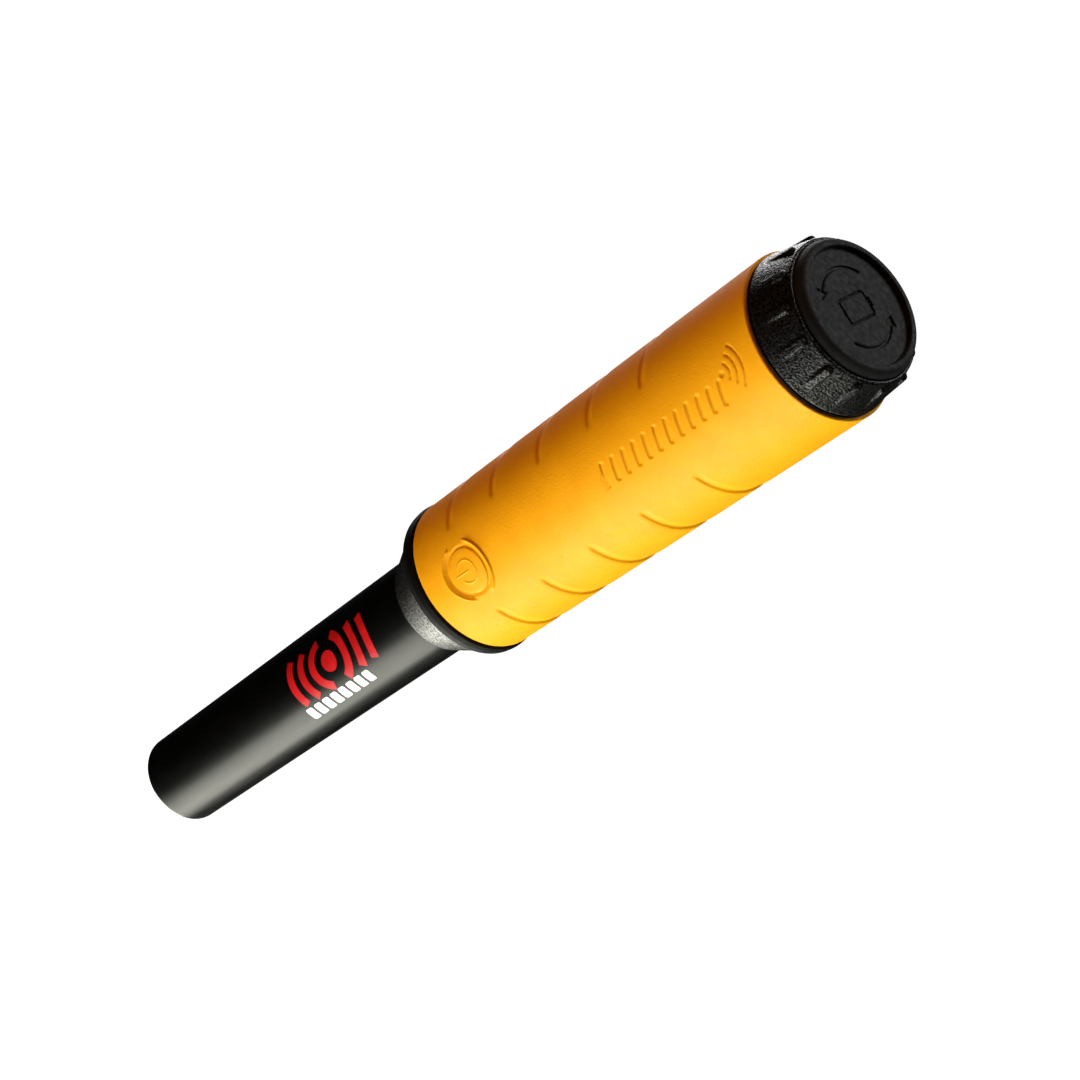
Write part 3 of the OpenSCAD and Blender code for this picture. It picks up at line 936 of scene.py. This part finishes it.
def make_cap_ring():
    """The ring with its ribs, and the hollow plug below it, as one closed mesh."""
    pitch = 360 / RIB_COUNT
    offsets = graded((-pitch / 2, 1.7), (-5.0, 0.33), (5.0, 1.7), (pitch / 2, 1.0))[:-1]
    turns = np.concatenate([RIB_FIRST + pitch * i + offsets for i in range(RIB_COUNT)])
    off = np.tile(offsets, RIB_COUNT)
    a = np.radians(turns)

    def ring(r, z):
        """A ring of points; r is one radius or a radius for each."""
        r = np.broadcast_to(r, a.shape)
        return np.stack([r * np.cos(a), r * np.sin(a), np.full_like(a, z)], axis=-1).tolist()

    def wall(z):
        """The ring's surface at a height, ribs included."""
        plain = RING_R + (RING_END_R - RING_R) * (z - RING_Z - 0.4) / (RING_END - RING_Z - 0.9)
        return plain + rib_rise(np.radians(off) * plain, z, plain)

    groove_r = PLUG_R - 0.85
    cup_r = PAD_R + 0.1
    post_r = 3.0
    web_z = RING_Z + 3.5
    seal_lo = GRIP_END - 2.1
    seal_hi = GRIP_END - 0.5
    well_z = PLUG_Z + 3.2
    edge = 0.4
    below = [(0.0, well_z), (post_r, well_z), (post_r, web_z), (PLUG_IN_R - 0.4, web_z),
             (PLUG_IN_R, web_z - 0.4), (PLUG_IN_R, PLUG_Z + 0.3), (PLUG_IN_R + 0.3, PLUG_Z),
             (PLUG_R - 0.3, PLUG_Z), (PLUG_R, PLUG_Z + 0.3), (PLUG_R, seal_lo),
             (groove_r, seal_lo), (groove_r, seal_hi), (PLUG_R, seal_hi), (PLUG_R, RING_Z),
             (RING_R - edge - 0.15, RING_Z)]
    rings = [[(0.0, 0.0, z)] if r == 0 else ring(r, z) for r, z in below]
    for k in range(1, 4):
        t = math.pi / 2 * k / 4
        rings.append(ring(RING_R - edge + (edge - 0.02) * math.sin(t),
                          RING_Z + edge * (1 - math.cos(t))))
    # rows are closest at the ribs' blunt ends
    heights = graded((RING_Z + edge, 0.5), (125.0, 0.3), (130.9, 0.11), (132.3, 0.2),
                     (RING_END - 0.5, 1.0))
    rings += [ring(wall(z), z) for z in heights]
    # the rounded end, the cup that holds the pad, and its floor
    top = wall(RING_END - 0.5)
    rings += [ring(top - 0.12, RING_END - 0.22), ring(top - 0.3, RING_END - 0.06),
              ring(top - 0.5, RING_END), ring(cup_r + 0.12, RING_END),
              ring(cup_r, RING_END - 0.12), ring(cup_r, PAD_SEAT_Z - 0.02),
              [(0.0, 0.0, PAD_SEAT_Z - 0.02)]]
    made = piece("battery_cap", *stack(rings), sharp=42.0)
    textured_plastic("cap_plastic", 0.48, 0.22).put(made)
    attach(made, "cap")
    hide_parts("cap_ring")


def panel_relief(x, y):
    """The sunk panel's mark: two turn arrows round the outline of a battery."""
    arrow_r = 9.6
    case = np.abs(box_distance(x, y, 2.9, 4.4, 0.7)) - 0.32
    terminal = box_distance(x, y - 5.1, 1.2, 0.35, 0.2)
    marks = np.minimum(case, terminal)
    for facing in (0, 180):
        arc = arc_distance(x, y, arrow_r, 46, 0.42, facing)
        tip = math.radians(facing + 50)
        tx = x - arrow_r * math.cos(tip)
        ty = y - arrow_r * math.sin(tip)
        ahead = -tx * math.sin(tip) + ty * math.cos(tip)
        aside = np.abs(tx * math.cos(tip) + ty * math.sin(tip))
        head = np.maximum(-ahead - 0.6, ahead * 0.6 + aside - 1.3)
        marks = np.minimum(marks, np.minimum(arc, head))
    return engraved(marks, 0.55, 0.2)


def make_pad():
    """The rubber end pad: a domed rim round a sunk flat panel with a debossed mark."""
    a = np.linspace(0, 2 * math.pi, 240, endpoint=False)

    def ring(r, z):
        """A ring of points; z is one height or a height for each."""
        return np.stack([r * np.cos(a), r * np.sin(a), np.broadcast_to(z, a.shape)],
                        axis=-1).tolist()

    rings = [[(0.0, 0.0, PAD_SEAT_Z)], ring(PAD_R - 0.2, PAD_SEAT_Z), ring(PAD_R, PAD_SEAT_Z + 0.2)]
    shoulder = RING_END - 0.5
    steps = 14
    for k in range(steps + 1):
        t = math.pi / 2 * k / steps
        rings.append(ring(PAD_FLAT_R + (PAD_R - PAD_FLAT_R) * math.cos(t),
                          shoulder + (PAD_END - shoulder) * math.sin(t)))
    rings += [ring(PANEL_R + 0.55, PAD_END), ring(PANEL_R + 0.36, PAD_END - 0.05),
              ring(PANEL_R + 0.22, PAD_END - 0.2), ring(PANEL_R + 0.12, PANEL_Z + 0.35),
              ring(PANEL_R, PANEL_Z + 0.12), ring(PANEL_R - 0.15, PANEL_Z)]
    for r in np.arange(PANEL_R - 0.35, 0.2, -0.2):
        rings.append(ring(r, PANEL_Z + panel_relief(r * np.cos(a), r * np.sin(a))))
    rings.append([(0.0, 0.0, PANEL_Z)])
    made = piece("end_pad", *stack(rings), sharp=50.0)
    pad_rubber().put(made)
    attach(made, "cap")
    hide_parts("cap_pad")


# ---- foams ----------------------------------------------------------------------------------

def make_foam(name, node, body):
    """A foam disc whose side and faces crown a little between its edges."""
    z0, z1 = span(node)
    r = span(node, 0)[1]
    thick = z1 - z0
    crown = min(0.15, thick / 6)
    outline = [(0.0, z0)]
    outline += [(r * t, z0 + crown * smooth(0.6, 1.0, t)) for t in (0.3, 0.6, 0.75, 0.9)]
    outline += [(r - crown * (1 - math.sin(math.pi * t)), z0 + crown + (thick - 2 * crown) * t)
                for t in np.linspace(0, 1, 7)]
    outline += [(r * t, z1 - crown * smooth(0.6, 1.0, t)) for t in (0.9, 0.75, 0.6, 0.3)]
    outline += [(0.0, z1)]
    made = lathe(name, [(float(r), float(z)) for r, z in outline], segments=72)
    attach(made, body)
    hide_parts(node)
    return made


# ---- stage ----------------------------------------------------------------------------------

def view_axes():
    """The camera's right, up and back directions."""
    turn = math.radians(VIEW_TURN)
    high = math.radians(VIEW_RISE)
    roll = math.radians(VIEW_ROLL)
    out = Vector((math.sin(turn), -math.cos(turn), 0.0))
    side = Vector((-math.cos(turn), -math.sin(turn), 0.0))
    along = math.cos(high) * Vector((0, 0, 1)) - math.sin(high) * out
    back = math.sin(high) * Vector((0, 0, 1)) + math.cos(high) * out
    right = math.cos(roll) * along - math.sin(roll) * side
    up = math.sin(roll) * along + math.cos(roll) * side
    return right, up, back


def make_camera():
    """The camera at the photograph's angle, a little off the object's middle as there."""
    right, up, back = view_axes()
    aim = Vector((0, 0, VIEW_AIM_Z)) + right * VIEW_AIM_RIGHT + up * VIEW_AIM_UP
    data = bpy.data.cameras.new("camera")
    data.lens = VIEW_LENS
    data.sensor_width = 36.0
    data.clip_start = 0.05
    data.clip_end = 20.0
    camera = bpy.data.objects.new("camera", data)
    camera.matrix_world = Matrix.Translation(aim + back * VIEW_FAR) @ Matrix(
        (right, up, back)).transposed().to_4x4()
    bpy.context.scene.collection.objects.link(camera)
    bpy.context.scene.camera = camera


def softbox(name, turn, rise, distance, size, power, shine=True, colour=(1, 1, 1)):
    """A rectangular light aimed at the origin.

    It stands round the object by turn, from -Y towards -X, and above the horizon by rise, in
    degrees. Distance and size are metres, and power is watts. Without shine it makes no
    highlights.
    """
    data = bpy.data.lights.new(name, "AREA")
    data.shape = "RECTANGLE"
    data.size, data.size_y = size
    data.energy = power
    data.color = colour
    light = bpy.data.objects.new(name, data)
    a = math.radians(turn)
    b = math.radians(rise)
    place = Vector((-math.sin(a) * math.cos(b), -math.cos(a) * math.cos(b), math.sin(b)))
    light.location = place * distance
    light.rotation_mode = "QUATERNION"
    light.rotation_quaternion = (-place).to_track_quat("-Z", "Y")
    light.visible_camera = False
    light.visible_glossy = shine
    bpy.context.scene.collection.objects.link(light)


def make_lights():
    """The softboxes, the strong ones on the tip side, and a white sky that lights nothing."""
    softbox("key", -64, -45, 0.8, (0.62, 0.56), 7.2, colour=(1.0, 1.0, 0.88))
    softbox("low", -124, -78, 0.8, (0.3, 0.3), 4.7, colour=(1.0, 1.0, 0.88))
    softbox("glint", -28, -20, 1.0, (0.35, 0.35), 1.2)
    softbox("side", -45, -26, 1.4, (1.2, 0.75), 33, shine=False)
    softbox("fill", 50, 12, 1.0, (1.0, 1.0), 4.8, shine=False, colour=(1.0, 0.42, 0.08))
    softbox("top", 175, 56, 1.0, (0.5, 0.5), 4.6)
    softbox("rim", 140, -14, 0.9, (0.5, 0.35), 4.4)
    softbox("back", -168, 6, 1.2, (0.8, 0.8), 8, shine=False)
    world = bpy.data.worlds.new("studio")
    world.use_nodes = True
    background = world.node_tree.nodes["Background"]
    background.inputs["Color"].default_value = (1.0, 1.0, 1.0, 1.0)
    background.inputs["Strength"].default_value = 1.0
    bpy.context.scene.world = world
    world.cycles_visibility.diffuse = False
    world.cycles_visibility.glossy = False


def make_floor():
    """A wide pale floor, far enough below the tip that no shadow shows."""
    half = FLOOR_HALF
    z = cad_bounds[0].z - FLOOR_DROP
    mesh = bpy.data.meshes.new("floor")
    mesh.from_pydata([(-half, -half, z), (half, -half, z), (half, half, z), (-half, half, z)],
                     [], [(0, 1, 2, 3)])
    floor = bpy.data.objects.new("floor", mesh)
    bpy.context.scene.collection.objects.link(floor)
    m = Material("floor_paper", Specular_IOR_Level=0.2)
    m.colour(m.noise(60.0, 3.0), (0.3, (0.86, 0.86, 0.86, 1)), (0.7, (0.88, 0.88, 0.88, 1)))
    m.rough(m.noise(20.0, 2.0), 0.85, 0.95)
    m.shader.inputs["Emission Color"].default_value = (1, 1, 1, 1)
    m.shader.inputs["Emission Strength"].default_value = 1.0
    m.put(floor)
    floor.visible_glossy = False
    floor.visible_diffuse = False


# ---- the whole object -----------------------------------------------------------------------

def dress_cad_nodes():
    """Gives each carried-over CAD node its material by the record's slot for it."""
    finishes = inner_materials()
    for part in frame["record"]["subparts"]:
        node = frame["nodes"][part["node"]]
        if not node.hide_render:
            finishes[part["material_slot"]].put(node)


make_tube()
make_marks()
make_collar()
make_grip()
make_button()
make_cap_ring()
make_pad()
foams = [make_foam("tip_foam", "tip_cushion", "housing"),
         make_foam("battery_foam", "battery_cushion", "cap_follower")]
foam_stuff().put(*foams)
dress_cad_nodes()
make_floor()
make_lights()
make_camera()
scene = bpy.context.scene
scene.view_settings.view_transform = "Standard"
